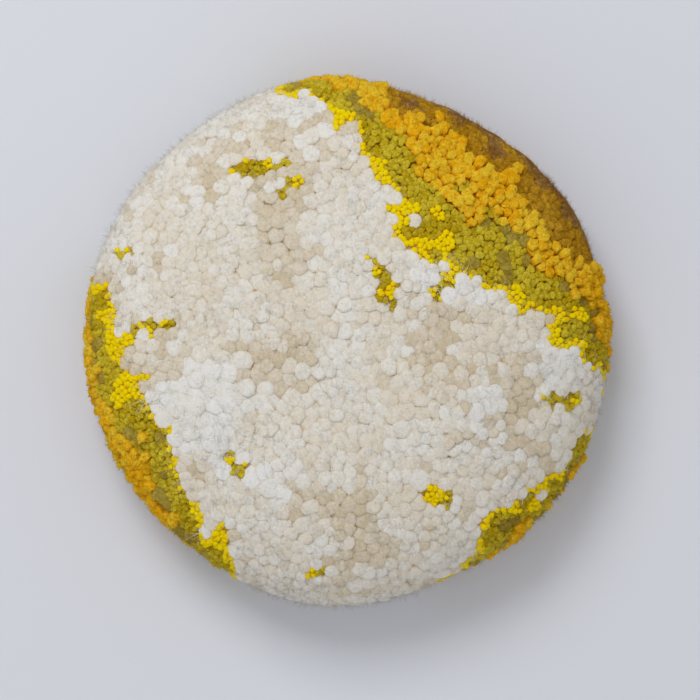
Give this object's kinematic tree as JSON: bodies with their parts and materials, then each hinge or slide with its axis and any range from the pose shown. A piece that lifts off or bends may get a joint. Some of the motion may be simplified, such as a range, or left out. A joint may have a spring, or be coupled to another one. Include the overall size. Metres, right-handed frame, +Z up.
{
  "type": "tufted wool wall dome on a round backing board",
  "caption": "Round domed wall hanging of hand-tufted wool pile, cream with yellow-green shaded edges, lying over the rim of a plain round board.",
  "frame": {"origin": "centre of the backing board's back face, on the wall plane", "axes": "+Z up, +X to the viewer's right, front of the pile faces -Y, and +Y goes into the wall"},
  "size_m": [0.1792, 0.055, 0.1812],
  "materials": {
    "cream_wool": "soft matt cut pile of cream wool yarn",
    "beige_wool": "soft matt cut pile of beige wool yarn",
    "lemon_wool": "dense short cut pile of lemon yellow wool yarn",
    "chartreuse_wool": "fine cut pile of yellow-green wool yarn",
    "khaki_wool": "soft cut pile of khaki wool roving",
    "gold_wool": "coarse cut pile of marigold wool yarn",
    "ochre_wool": "cut pile of ochre wool yarn",
    "brown_wool": "fuzzy cut pile of brown wool yarn",
    "plywood": "plain sanded birch plywood"
  },
  "bodies": {
    "root": {"pile_dome": "cream_wool", "backing_board": "plywood"}
  },
  "joints": []
}
